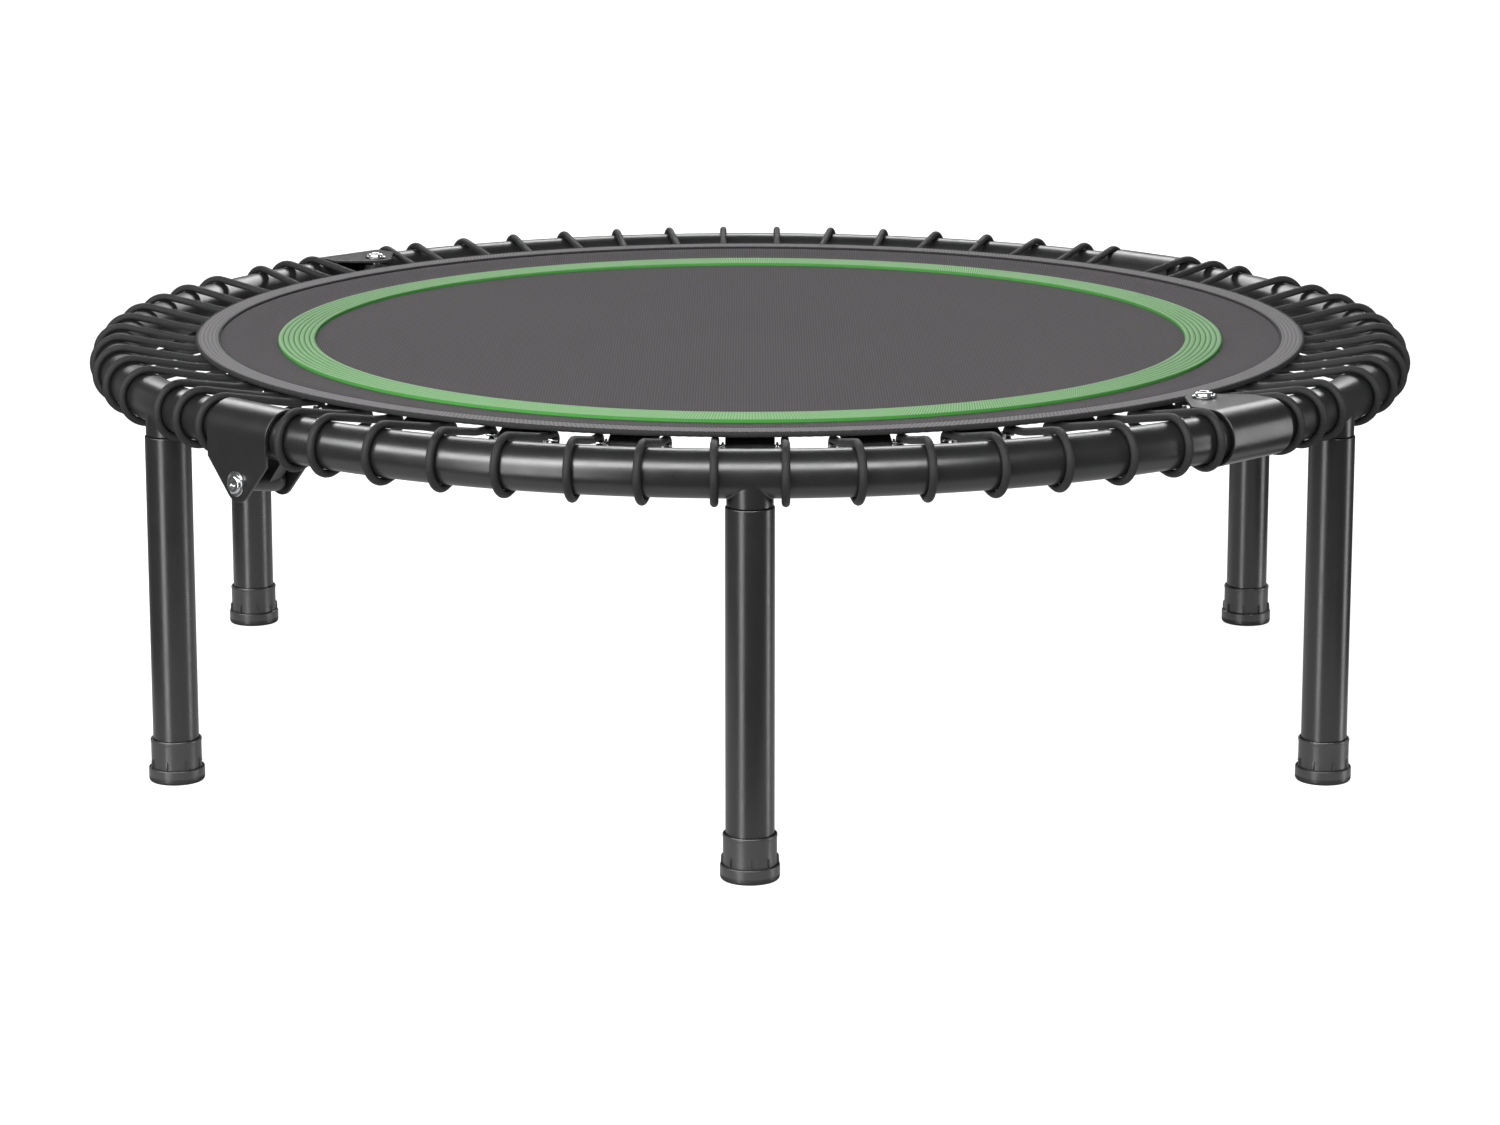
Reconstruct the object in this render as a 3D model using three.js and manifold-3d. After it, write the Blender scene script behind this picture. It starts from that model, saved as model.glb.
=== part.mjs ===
// A round fitness trampoline: a tubular steel ring in four arcs, six screw-on legs, four hinge
// brackets, and a round mat hung in the ring on elastic cords.
// Millimetres, +Z up, origin on the floor under the ring's centre. Azimuth 0 is +X, 90 is +Y.
import * as THREE from "three";
import { mergeVertices } from "three/addons/utils/BufferGeometryUtils.js";
import Module from "manifold-3d";

const wasm = await Module();
wasm.setup();

// Frame ring
const RING_RADIUS = 552.5; // circle of the tube's centre
const RING_Z = 318; // height of the tube's centre
const TUBE_RADIUS = 19;
const TUBE_WALL = 1.5;
const ARC_NAMES = ["front", "right", "back", "left"];
const FIRST_HINGE = -135; // azimuth where the front arc starts
const ARC_SPAN = 90;
const TOUCH_GAP = 0.3; // between pieces that touch

// Legs
const LEG_AZIMUTHS = [-90, -30, 30, 90, 150, 210];
const LEG_TOP = 293;
const LEG_RADIUS = 19;
const LEG_WALL = 1.5;
const STUB_RADIUS = 18;
const STUB_COPE_RADIUS = 19.9; // clears the tube, whose facets bulge where the ring curves
const STUB_COPE_SHIFT = 0.4; // towards the centre, because the tube curves away
const STUD_RADIUS = 10;
const STUD_BOTTOM = 240;
const BUSH_HEIGHT = 38; // threaded bush in the leg's top
const FOOT_BASE_RADIUS = 23.2;
const FOOT_BASE_HEIGHT = 12.2;
const FOOT_SLEEVE_RADIUS = 20.9;
const FOOT_TOP = 36.3;
const FOOT_FLOOR = 5;

// Hinge brackets
const SADDLE_WIDTH = 74; // along the tube
const SADDLE_INNER = 20.2;
const SADDLE_OUTER = 23;
const SADDLE_SHIFT = 0.62; // towards the centre, because the tube curves away behind the plate
const CHEEK_STRAIGHT = 21; // from the tube's centre to where the cheeks start to taper
const PIVOT_DROP = 38.5; // from the tube's centre to the bolt
const CHEEK_END_RADIUS = 15.4;
const BOLT_RADIUS = 5;
const BOLT_HOLE_RADIUS = 5.4;
const BOLT_TAIL = 10; // past the far cheek, for the nut
const BOLT_FLANGE_RADIUS = 10;
const BOLT_FLANGE_HEIGHT = 1.6;
const BOLT_HEAD_HEIGHT = 4.4; // with its flange
const BOLT_SOCKET_RADIUS = 3.2;
const BOLT_SOCKET_DEPTH = 3;
const NUT_CORNER_RADIUS = 9.8;
const NUT_HEIGHT = 8;
const NUT_BORE_RADIUS = 5.2;
const LUG_HALF_WIDTH = 18;
const LUG_END_RADIUS = 12;
const LUG_COPE_RADIUS = 19.7;
const LUG_WEB_TOP = -14; // from the tube's centre
const LUG_WEB_LENGTH = 24; // along the tube, from the bolt
const LUG_WEB_START = 2;
const LUG_END_ANGLE = 300; // where the rounded end runs into the web's underside

// Mat
const MAT_RADIUS = 486;
const MAT_UNDERSIDE = 332;
const MAT_TOP = 333.5;
const TRIM_TOP = 336.5;
const HEM_INNER = 466;
const GREEN_INNER = 383;
const GREEN_OUTER = 415;
const FOLD_AZIMUTH = 45; // the fold line runs from here to the opposite side

// Mat-edge rings, on a sewn webbing band
const UNIT_COUNT = 32;
const UNIT_PITCH = 360 / UNIT_COUNT;
const BAND_INNER = 440;
const BAND_OUTER = 457;
const BAND_THICKNESS = 3;
const TAB_HALF_WIDTH = 20;
const WIRE_RADIUS = 1.5;
const WIRE_CIRCLE = 468;
const WIRE_Z = 322;
const WIRE_HALF_LENGTH = 31;
const HINGE_WIRE_HALF_LENGTH = 34;

// Elastic cord
const CORD_RADIUS = 3.25;
const CORD_SIDES = 5;
const CORD_CLEARANCE = 0.6; // between cord and tube
const CORD_INNER_CIRCLE = 462.5; // where a loop turns behind its wire
const CORD_UPPER_Z = 327.1;
const CORD_LOWER_Z = 316.3;
const CORD_EDGE_CIRCLE = 490; // where the upper strand passes the mat's edge
const CORD_EDGE_Z = 328.3;
const WRAP_STEPS = 7;
const WRAP_HALF_PITCH = UNIT_PITCH / 4;
const WIRE_END = 27; // from a unit's middle to its cord
const HINGE_WIRE_END = 30;
const HINGE_WRAP_OFFSET = 46.5; // beside a bracket
const LEG_CLEAR_ANGLE = 2.6; // least angle between a wrap and a leg

const rad = THREE.MathUtils.degToRad;

const material = (color, roughness, metalness) =>
  new THREE.MeshStandardMaterial({ color, roughness, metalness });
const MATERIALS = {
  steel: material(0x232426, 0.35, 0.4),
  chrome: material(0xc9ccd0, 0.2, 1),
  rubber: material(0x1c1c1d, 0.7, 0),
  mat: material(0x4c4a4d, 0.85, 0),
  hem: material(0x79777a, 0.9, 0),
  green: material(0x5fa05c, 0.75, 0),
  cord: material(0x161617, 0.8, 0),
  webbing: material(0x1a1a1b, 0.85, 0),
};

const part = new THREE.Group();

function addMesh(parent, name, geometry, finish) {
  const mesh = new THREE.Mesh(geometry, finish);
  mesh.name = name;
  parent.add(mesh);
}

// A group whose +X points outwards at an azimuth and whose +Y runs along the ring.
function groupAt(azimuth) {
  const group = new THREE.Group();
  group.rotation.z = rad(azimuth);
  part.add(group);
  return group;
}

function toSolid(geometry) {
  const bare = geometry.clone();
  bare.deleteAttribute("normal");
  bare.deleteAttribute("uv");
  const merged = mergeVertices(bare, 1e-3);
  return new wasm.Manifold(
    new wasm.Mesh({
      numProp: 3,
      vertProperties: merged.attributes.position.array,
      triVerts: new Uint32Array(merged.index.array),
    }),
  );
}

function toGeometry(solid) {
  const mesh = solid.getMesh();
  const geometry = new THREE.BufferGeometry();
  geometry.setAttribute("position", new THREE.BufferAttribute(mesh.vertProperties, 3));
  geometry.setIndex(new THREE.BufferAttribute(mesh.triVerts, 1));
  const flat = geometry.toNonIndexed();
  flat.computeVertexNormals();
  return flat;
}

function polygon(radius, sides) {
  return Array.from({ length: sides }, (_, i) => {
    const angle = (2 * Math.PI * (i + 0.5)) / sides;
    return new THREE.Vector2(radius * Math.cos(angle), radius * Math.sin(angle));
  });
}

// A lathe profile is a list of [radius, height]; the turned piece stands on Z.
function turned(profile, segments) {
  const points = profile.map(([r, z]) => new THREE.Vector2(r, z));
  return new THREE.LatheGeometry(points, segments).rotateX(Math.PI / 2);
}

// A cylinder along X, Y or Z, centred on the origin.
function rod(radius, length, axis, sides) {
  const geometry = new THREE.CylinderGeometry(radius, radius, length, sides);
  if (axis === "X") geometry.rotateZ(Math.PI / 2);
  if (axis === "Z") geometry.rotateX(Math.PI / 2);
  return geometry;
}

function extruded(shape, depth, curveSegments = 8) {
  return new THREE.ExtrudeGeometry(shape, { depth, curveSegments, bevelEnabled: false });
}

// An outline drawn in Y and Z, extruded symmetrically along X.
function extrudedAcross(shape, depth, curveSegments) {
  const basis = new THREE.Matrix4().makeBasis(
    new THREE.Vector3(0, 1, 0),
    new THREE.Vector3(0, 0, 1),
    new THREE.Vector3(1, 0, 0),
  );
  return extruded(shape, depth, curveSegments).applyMatrix4(basis).translate(-depth / 2, 0, 0);
}

// A path of straight stretches with one extrusion step at each point.
class PointPath extends THREE.Curve {
  constructor(points) {
    super();
    this.points = points;
  }
  getPoint(t, target = new THREE.Vector3()) {
    const place = t * (this.points.length - 1);
    const index = Math.max(0, Math.min(Math.floor(place), this.points.length - 2));
    return target.lerpVectors(this.points[index], this.points[index + 1], place - index);
  }
  getUtoTmapping(u) {
    return u;
  }
}

function swept(shape, points) {
  return new THREE.ExtrudeGeometry(shape, {
    steps: points.length - 1,
    extrudePath: new PointPath(points),
    bevelEnabled: false,
  });
}

function ringPoint(radius, azimuth, z) {
  return new THREE.Vector3(radius * Math.cos(rad(azimuth)), radius * Math.sin(rad(azimuth)), z);
}

// The ring's tube, from one hinge to the next, with shorter steps inside the brackets.
function arcTube(start) {
  const endTrim = THREE.MathUtils.radToDeg(TOUCH_GAP / RING_RADIUS);
  const middleSteps = 12;
  const margin = 4;
  const angles = [endTrim, margin / 4];
  for (let i = 0; i <= middleSteps; i++) {
    angles.push(margin + ((ARC_SPAN - 2 * margin) * i) / middleSteps);
  }
  angles.push(ARC_SPAN - margin / 4, ARC_SPAN - endTrim);
  const section = new THREE.Shape(polygon(TUBE_RADIUS, 12));
  section.holes.push(new THREE.Path(polygon(TUBE_RADIUS - TUBE_WALL, 8)));
  return swept(
    section,
    angles.map((angle) => ringPoint(RING_RADIUS, start + angle, RING_Z)),
  );
}

// A short socket welded under the ring's tube, coped to it.
function legStub() {
  const bore = STUD_RADIUS + TOUCH_GAP;
  const bottom = LEG_TOP + TOUCH_GAP;
  const ring = turned(
    [
      [STUB_RADIUS, bottom],
      [STUB_RADIUS, RING_Z],
      [bore, RING_Z],
      [bore, bottom],
      [STUB_RADIUS, bottom],
    ],
    14,
  );
  const cope = rod(STUB_COPE_RADIUS, 4 * STUB_RADIUS, "Y", 20).translate(-STUB_COPE_SHIFT, 0, RING_Z);
  return toGeometry(toSolid(ring).subtract(toSolid(cope)));
}

function legStud() {
  const top = RING_Z - TUBE_RADIUS - 2 * TOUCH_GAP;
  return turned(
    [
      [0, STUD_BOTTOM],
      [STUD_RADIUS, STUD_BOTTOM],
      [STUD_RADIUS, top],
      [0, top],
    ],
    10,
  );
}

function legTube() {
  const bottom = FOOT_FLOOR + TOUCH_GAP;
  const inner = LEG_RADIUS - LEG_WALL;
  const bush = STUD_RADIUS + TOUCH_GAP;
  return turned(
    [
      [LEG_RADIUS, bottom],
      [LEG_RADIUS, LEG_TOP],
      [bush, LEG_TOP],
      [bush, LEG_TOP - BUSH_HEIGHT],
      [inner, LEG_TOP - BUSH_HEIGHT],
      [inner, bottom],
      [LEG_RADIUS, bottom],
    ],
    14,
  );
}

function foot() {
  const socket = LEG_RADIUS + TOUCH_GAP;
  const edge = 0.8;
  return turned(
    [
      [0, 0],
      [FOOT_BASE_RADIUS - edge, 0],
      [FOOT_BASE_RADIUS, edge],
      [FOOT_BASE_RADIUS, FOOT_BASE_HEIGHT],
      [FOOT_SLEEVE_RADIUS, FOOT_BASE_HEIGHT],
      [FOOT_SLEEVE_RADIUS, FOOT_TOP],
      [socket, FOOT_TOP],
      [socket, FOOT_FLOOR],
      [0, FOOT_FLOOR],
    ],
    14,
  );
}

// A plate bent over the tube, its two cheeks tapering to the bolt. The tube runs along Y.
function saddle() {
  const cheekEnd = -PIVOT_DROP - CHEEK_END_RADIUS;
  const bend = new THREE.Shape();
  bend.moveTo(SADDLE_OUTER, cheekEnd);
  bend.lineTo(SADDLE_OUTER, 0);
  bend.absarc(0, 0, SADDLE_OUTER, 0, Math.PI, false);
  bend.lineTo(-SADDLE_OUTER, cheekEnd);
  bend.lineTo(-SADDLE_INNER, cheekEnd);
  bend.lineTo(-SADDLE_INNER, 0);
  bend.absarc(0, 0, SADDLE_INNER, Math.PI, 0, true);
  bend.lineTo(SADDLE_INNER, cheekEnd);
  const half = SADDLE_WIDTH / 2;
  const plate = extruded(bend, SADDLE_WIDTH, 5).rotateX(Math.PI / 2).translate(0, half, 0);

  const rise = PIVOT_DROP - CHEEK_STRAIGHT;
  const reach = Math.hypot(half, rise);
  const tangent = Math.atan2(rise, half) - Math.acos(CHEEK_END_RADIUS / reach);
  const outline = new THREE.Shape();
  outline.moveTo(half, SADDLE_OUTER + 1);
  outline.lineTo(-half, SADDLE_OUTER + 1);
  outline.lineTo(-half, -CHEEK_STRAIGHT);
  outline.absarc(0, -PIVOT_DROP, CHEEK_END_RADIUS, Math.PI - tangent, 2 * Math.PI + tangent, false);
  outline.lineTo(half, -CHEEK_STRAIGHT);
  const hole = rod(BOLT_HOLE_RADIUS, 4 * SADDLE_OUTER, "X", 12).translate(0, 0, -PIVOT_DROP);
  const cut = toSolid(plate).intersect(toSolid(extrudedAcross(outline, 4 * SADDLE_OUTER, 5)));
  return toGeometry(cut.subtract(toSolid(hole)));
}

// The lug under the other tube's end, which turns on the bolt between the cheeks.
function lug(side) {
  const upper = Math.acos(LUG_WEB_START / LUG_END_RADIUS);
  const outline = new THREE.Shape();
  outline.moveTo(LUG_WEB_LENGTH, LUG_WEB_TOP);
  outline.lineTo(LUG_WEB_START, LUG_WEB_TOP);
  outline.absarc(0, -PIVOT_DROP, LUG_END_RADIUS, upper, rad(LUG_END_ANGLE), false);
  outline.lineTo(LUG_WEB_LENGTH, -PIVOT_DROP);
  const blank = extrudedAcross(outline, 2 * LUG_HALF_WIDTH, 5);
  if (side < 0) blank.rotateZ(Math.PI);
  const cope = rod(LUG_COPE_RADIUS, 4 * LUG_WEB_LENGTH, "Y", 20).translate(SADDLE_SHIFT / 2, 0, 0);
  const hole = rod(BOLT_HOLE_RADIUS, 4 * LUG_HALF_WIDTH, "X", 12).translate(0, 0, -PIVOT_DROP);
  return toGeometry(toSolid(blank).subtract(toSolid(cope)).subtract(toSolid(hole)));
}

// A flanged button-head bolt along X, its head at +X.
function bolt() {
  const seat = SADDLE_OUTER + TOUCH_GAP;
  const tip = -seat - BOLT_TAIL;
  const flange = seat + BOLT_FLANGE_HEIGHT;
  const top = seat + BOLT_HEAD_HEIGHT;
  return turned(
    [
      [0, tip],
      [BOLT_RADIUS, tip],
      [BOLT_RADIUS, seat],
      [BOLT_FLANGE_RADIUS, seat],
      [BOLT_FLANGE_RADIUS, flange],
      [0.8 * BOLT_FLANGE_RADIUS, flange],
      [0.72 * BOLT_FLANGE_RADIUS, (flange + 2 * top) / 3],
      [BOLT_RADIUS, top],
      [BOLT_SOCKET_RADIUS, top],
      [BOLT_SOCKET_RADIUS, top - BOLT_SOCKET_DEPTH],
      [0, top - BOLT_SOCKET_DEPTH],
    ],
    12,
  )
    .rotateY(Math.PI / 2)
    .translate(0, 0, -PIVOT_DROP);
}

function nut() {
  const shape = new THREE.Shape(polygon(NUT_CORNER_RADIUS, 6));
  shape.holes.push(new THREE.Path(polygon(NUT_BORE_RADIUS, 12)));
  const middle = -SADDLE_OUTER - TOUCH_GAP - NUT_HEIGHT / 2;
  return extrudedAcross(shape, NUT_HEIGHT).translate(middle, 0, -PIVOT_DROP);
}

// name, azimuth, whether the bracket points inwards, and the side of the tube with the lug
const HINGES = [
  ["fold_left", -135, false, 1],
  ["flat_right", -45, true, 1],
  ["fold_right", 45, false, -1],
  ["flat_left", 135, true, -1],
];

function addHinge([name, azimuth, inwards, side]) {
  const bracket = new THREE.Group();
  bracket.position.set(RING_RADIUS - SADDLE_SHIFT, 0, RING_Z);
  bracket.rotation.y = inwards ? Math.PI / 2 : 0;
  groupAt(azimuth).add(bracket);
  addMesh(bracket, `${name}_saddle`, saddle(), MATERIALS.steel);
  addMesh(bracket, `${name}_lug`, lug(side), MATERIALS.steel);
  // The bolt's head is on the outside of the ring, or on top where the bracket points inwards.
  const fastening = new THREE.Group();
  fastening.rotation.z = inwards ? Math.PI : 0;
  bracket.add(fastening);
  addMesh(fastening, `${name}_bolt`, bolt(), MATERIALS.chrome);
  addMesh(fastening, `${name}_nut`, nut(), MATERIALS.chrome);
}

function addLeg(azimuth, index) {
  const place = new THREE.Group();
  place.position.x = RING_RADIUS;
  groupAt(azimuth).add(place);
  const number = index + 1;
  addMesh(place, `leg_stub_${number}`, legStub(), MATERIALS.steel);
  addMesh(place, `leg_stud_${number}`, legStud(), MATERIALS.chrome);
  addMesh(place, `leg_tube_${number}`, legTube(), MATERIALS.steel);
  addMesh(place, `foot_${number}`, foot(), MATERIALS.rubber);
}

// Half a flat ring, on the +Y side of the fold line. An inner radius of 0 makes half a disc.
function halfRing(inner, outer, bottom, top, segments) {
  const shape = new THREE.Shape();
  const outerAngle = Math.asin(TOUCH_GAP / outer);
  shape.absarc(0, 0, outer, outerAngle, Math.PI - outerAngle, false);
  if (inner > 0) {
    const innerAngle = Math.asin(TOUCH_GAP / inner);
    shape.absarc(0, 0, inner, Math.PI - innerAngle, innerAngle, true);
  }
  return extruded(shape, top - bottom, segments / 2).translate(0, 0, bottom);
}

// The webbing band under the mat's edge, with a tab and a steel wire at each unit.
// The units on the fold line are in two halves, so that nothing spans it.
function ringStrap() {
  const bandTop = MAT_UNDERSIDE - TOUCH_GAP;
  const tabBottom = WIRE_Z - 1.4;
  const tabInner = BAND_OUTER - 2;
  const tabOuter = WIRE_CIRCLE + 2.5;
  const foldGap = 3;
  const last = UNIT_COUNT / 2;
  let strap = toSolid(halfRing(BAND_INNER, BAND_OUTER, bandTop - BAND_THICKNESS, bandTop, 32));
  for (let i = 0; i <= last; i++) {
    const atHinge = i % (UNIT_COUNT / 4) === 0;
    const wireHalf = atHinge ? HINGE_WIRE_HALF_LENGTH : WIRE_HALF_LENGTH;
    const start = i === 0 ? foldGap : -1;
    const end = i === last ? -foldGap : 1;
    const [wireFrom, wireTo] = [i === 0 ? start : -wireHalf, i === last ? end : wireHalf];
    const [tabFrom, tabTo] = [i === 0 ? start : -TAB_HALF_WIDTH, i === last ? end : TAB_HALF_WIDTH];
    const wire = rod(WIRE_RADIUS, wireTo - wireFrom, "Y", 6);
    wire.translate(WIRE_CIRCLE, (wireFrom + wireTo) / 2, WIRE_Z);
    const tab = new THREE.BoxGeometry(tabOuter - tabInner, tabTo - tabFrom, bandTop - tabBottom);
    tab.translate((tabInner + tabOuter) / 2, (tabFrom + tabTo) / 2, (bandTop + tabBottom) / 2);
    const turn = new THREE.Matrix4().makeRotationZ(rad(i * UNIT_PITCH));
    strap = strap.add(toSolid(tab.applyMatrix4(turn))).add(toSolid(wire.applyMatrix4(turn)));
  }
  return toGeometry(strap);
}

// One cord wrap: over the tube, round the outside and back below, in one upright plane.
function wrapPoints(unit, side) {
  const atHinge = (unit - FIRST_HINGE) % ARC_SPAN === 0;
  const wireEnd = side * (atHinge ? HINGE_WIRE_END : WIRE_END);
  const hingeAngle = THREE.MathUtils.radToDeg(Math.asin(HINGE_WRAP_OFFSET / RING_RADIUS));
  let azimuth = unit + side * (atHinge ? hingeAngle : WRAP_HALF_PITCH);
  for (const leg of LEG_AZIMUTHS) {
    const apart = THREE.MathUtils.euclideanModulo(azimuth - leg + 180, 360) - 180;
    if (Math.abs(apart) < LEG_CLEAR_ANGLE) azimuth += Math.sign(apart) * LEG_CLEAR_ANGLE - apart;
  }
  const outwards = ringPoint(1, unit, 0);
  const along = ringPoint(1, unit + 90, 0);
  const start = outwards.clone().multiplyScalar(CORD_INNER_CIRCLE).addScaledVector(along, wireEnd);
  const run = ringPoint(RING_RADIUS, azimuth, 0).sub(start);
  const length = run.length();
  run.normalize();
  const at = (distance, z) => start.clone().addScaledVector(run, distance).setZ(z);

  const wrap = TUBE_RADIUS + CORD_RADIUS + CORD_CLEARANCE;
  const edge = CORD_EDGE_CIRCLE - CORD_INNER_CIRCLE;
  const tangentAngle = (distance, z) => {
    const [back, rise] = [length - distance, z - RING_Z];
    return Math.acos(wrap / Math.hypot(back, rise)) - Math.atan2(rise, back);
  };
  const first = Math.PI - tangentAngle(edge, CORD_EDGE_Z) - 2 * Math.atan2(CORD_EDGE_Z - RING_Z, length);
  const last = -Math.PI + tangentAngle(0, 2 * RING_Z - CORD_LOWER_Z);
  const step = (last - first) / WRAP_STEPS;
  const bend = wrap / Math.cos(step / 2);
  const points = [at(0, CORD_UPPER_Z), at(edge, CORD_EDGE_Z)];
  for (let i = 0; i <= WRAP_STEPS; i++) {
    const angle = first + i * step;
    points.push(at(length + bend * Math.cos(angle), RING_Z + bend * Math.sin(angle)));
  }
  points.push(at(0, CORD_LOWER_Z));
  return points;
}

// The cord along one arc of the ring, laced from wire to wire: after each wrap it runs on
// below the mat's edge to the next one.
function bungee(start) {
  const units = ARC_SPAN / UNIT_PITCH;
  const points = [];
  for (let i = 0; i <= units; i++) {
    const unit = start + i * UNIT_PITCH;
    for (const side of [-1, 1]) {
      if ((i === 0 && side < 0) || (i === units && side > 0)) continue;
      const wrap = wrapPoints(unit, side);
      if (points.length) points.push(wrap[0].clone().setZ(CORD_LOWER_Z));
      points.push(...wrap);
    }
  }
  return swept(new THREE.Shape(polygon(CORD_RADIUS, CORD_SIDES)), points);
}

ARC_NAMES.forEach((name, index) => {
  const start = FIRST_HINGE + index * ARC_SPAN;
  addMesh(part, `frame_arc_${name}`, arcTube(start), MATERIALS.steel);
  addMesh(part, `bungee_${name}`, bungee(start), MATERIALS.cord);
});
LEG_AZIMUTHS.forEach(addLeg);
HINGES.forEach(addHinge);
for (const [half, azimuth] of [["back", FOLD_AZIMUTH], ["front", FOLD_AZIMUTH + 180]]) {
  const group = groupAt(azimuth);
  const trimBottom = MAT_TOP + TOUCH_GAP;
  addMesh(group, `mat_${half}`, halfRing(0, MAT_RADIUS, MAT_UNDERSIDE, MAT_TOP, 36), MATERIALS.mat);
  addMesh(group, `hem_${half}`, halfRing(HEM_INNER, MAT_RADIUS, trimBottom, TRIM_TOP, 24), MATERIALS.hem);
  addMesh(
    group,
    `green_band_${half}`,
    halfRing(GREEN_INNER, GREEN_OUTER, trimBottom, TRIM_TOP, 24),
    MATERIALS.green,
  );
  addMesh(group, `ring_strap_${half}`, ringStrap(), MATERIALS.webbing);
}

export default part;
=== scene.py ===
"""The looks of a folding round fitness trampoline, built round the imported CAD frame.

Metres, +Z up, in the CAD's frame: the ring's centre is over the origin, azimuth 0 is +X and 90 is +Y.
"""

import math

import bmesh
import bpy
import numpy as np
from mathutils import Matrix, Vector


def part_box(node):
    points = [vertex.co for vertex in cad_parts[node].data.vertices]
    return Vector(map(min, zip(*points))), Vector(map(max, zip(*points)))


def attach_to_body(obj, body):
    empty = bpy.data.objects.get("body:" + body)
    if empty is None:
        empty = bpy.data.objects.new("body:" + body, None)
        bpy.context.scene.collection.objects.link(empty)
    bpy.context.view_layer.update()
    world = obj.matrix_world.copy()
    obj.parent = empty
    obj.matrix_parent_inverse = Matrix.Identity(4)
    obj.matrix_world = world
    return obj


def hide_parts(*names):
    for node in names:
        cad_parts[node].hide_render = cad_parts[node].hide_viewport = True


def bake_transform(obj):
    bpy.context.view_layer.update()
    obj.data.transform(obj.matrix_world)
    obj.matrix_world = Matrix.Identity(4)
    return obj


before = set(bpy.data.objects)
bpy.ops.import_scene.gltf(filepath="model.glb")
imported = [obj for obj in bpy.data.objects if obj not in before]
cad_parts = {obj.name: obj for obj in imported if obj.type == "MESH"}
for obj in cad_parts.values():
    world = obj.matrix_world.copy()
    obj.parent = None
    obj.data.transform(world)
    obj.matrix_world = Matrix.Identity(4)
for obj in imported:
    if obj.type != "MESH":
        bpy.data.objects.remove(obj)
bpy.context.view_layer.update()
MM = 0.001
UP = np.array([0.0, 0.0, 1.0])
UV = "Along"


def middle(node):
    low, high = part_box(node)
    return (low + high) / 2


# Places read from the frame
LEGS = [middle(f"leg_tube_{number}") for number in range(1, 7)]
LEG_AZIMUTHS = [math.degrees(math.atan2(p.y, p.x)) for p in LEGS]
RING_RADIUS = math.hypot(LEGS[0].x, LEGS[0].y)
RING_Z = middle("frame_arc_front").z
LEG_BOTTOM, LEG_TOP = (corner.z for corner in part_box("leg_tube_1"))
STUD_BOTTOM, STUD_TOP = (corner.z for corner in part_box("leg_stud_1"))
STUB_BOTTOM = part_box("leg_stub_1")[0].z
FOOT_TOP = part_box("foot_1")[1].z
MAT_LOW, MAT_HIGH = (corner.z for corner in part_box("mat_back"))
HEM_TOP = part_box("hem_back")[1].z

# Frame sections, as in the CAD
TUBE_RADIUS = 19 * MM
TUBE_WALL = 1.5 * MM
HINGE_AZIMUTHS = [-135, -45, 45, 135]
ARC_SPAN = 90
# each arc's name and body, from the first hinge on
ARCS = [("front", "half_front"), ("right", "half_front"), ("back", "half_back"), ("left", "half_back")]
TOUCH_GAP = 0.3 * MM
LEG_RADIUS = 19 * MM
STUB_RADIUS = 18 * MM
STUD_RADIUS = 10 * MM
BUSH_HEIGHT = 38 * MM
SADDLE_WIDTH = 74 * MM
SADDLE_INNER = 20.2 * MM
SADDLE_PLATE = 2.8 * MM
SADDLE_SHIFT = 0.62 * MM  # towards the ring's centre, because the tube curves that way
CHEEK_STRAIGHT = 21 * MM
PIVOT_DROP = 38.5 * MM
CHEEK_END_RADIUS = 15.4 * MM
BOLT_RADIUS = 5 * MM

# Mat and its trim, as in the CAD
MAT_RADIUS = 486 * MM
HEM_INNER = 466 * MM
GREEN_INNER = 383 * MM
GREEN_OUTER = 415 * MM
BAND_INNER = 440 * MM
BAND_OUTER = 457 * MM
HEM_ROWS = 5
HEM_WIDTH = MAT_RADIUS - HEM_INNER - 2.6 * MM
HEM_ROW = HEM_WIDTH / HEM_ROWS
GREEN_RIBS = 7
GREEN_WIDTH = GREEN_OUTER - GREEN_INNER
GREEN_RIB = GREEN_WIDTH / GREEN_RIBS
FOLD_AZIMUTH = 45
RIM_RISE = 1.1 * MM  # the hem pulls the mat's rim up a little
DISH = 3.3 * MM  # and inside its seam the mat lies lower
DISH_OUTER = 462 * MM
DISH_INNER = 418 * MM

# Cords and their rings, as in the CAD
UNITS = 32
CORD_RADIUS = 3.25 * MM
CORD_TURN_CIRCLE = 462.5 * MM
CORD_UPPER_Z = 327.1 * MM
CORD_LOWER_Z = 316.3 * MM
CORD_EDGE_CIRCLE = 490 * MM
CORD_EDGE_Z = 328.3 * MM
WIRE_CIRCLE = 468 * MM
WIRE_Z = 322 * MM
WIRE_RADIUS = 1.5 * MM
WIRE_PAST_CORD = 4 * MM
TAB_HALF_WIDTH = 19.3 * MM
HINGE_WRAP_OFFSET = 46.5 * MM  # from the hinge's middle to the wraps beside its bracket
LEG_CLEAR_ANGLE = 2.6  # least angle between a wrap and a leg

# Studio
CAMERA_PLACE = (0, -3.6437, 0.9622)
CAMERA_PITCH = 11.139  # degrees below level
SKY = 0.11  # the sky's strength on the object
FLOOR_REACH = 40.0

# ---- shapes


def outwards(azimuth):
    a = math.radians(azimuth)
    return np.array([math.cos(a), math.sin(a), 0.0])


def along(azimuth):
    return outwards(azimuth + 90)


def ring_matrix(azimuth, radius, z):
    """Local X points outwards, Y along the ring and Z up."""
    turn = Matrix.Rotation(math.radians(azimuth), 4, "Z")
    return turn @ Matrix.Translation((radius, 0, z))


def full_turn(steps):
    return np.linspace(0, 2 * np.pi, steps, endpoint=False)


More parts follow.
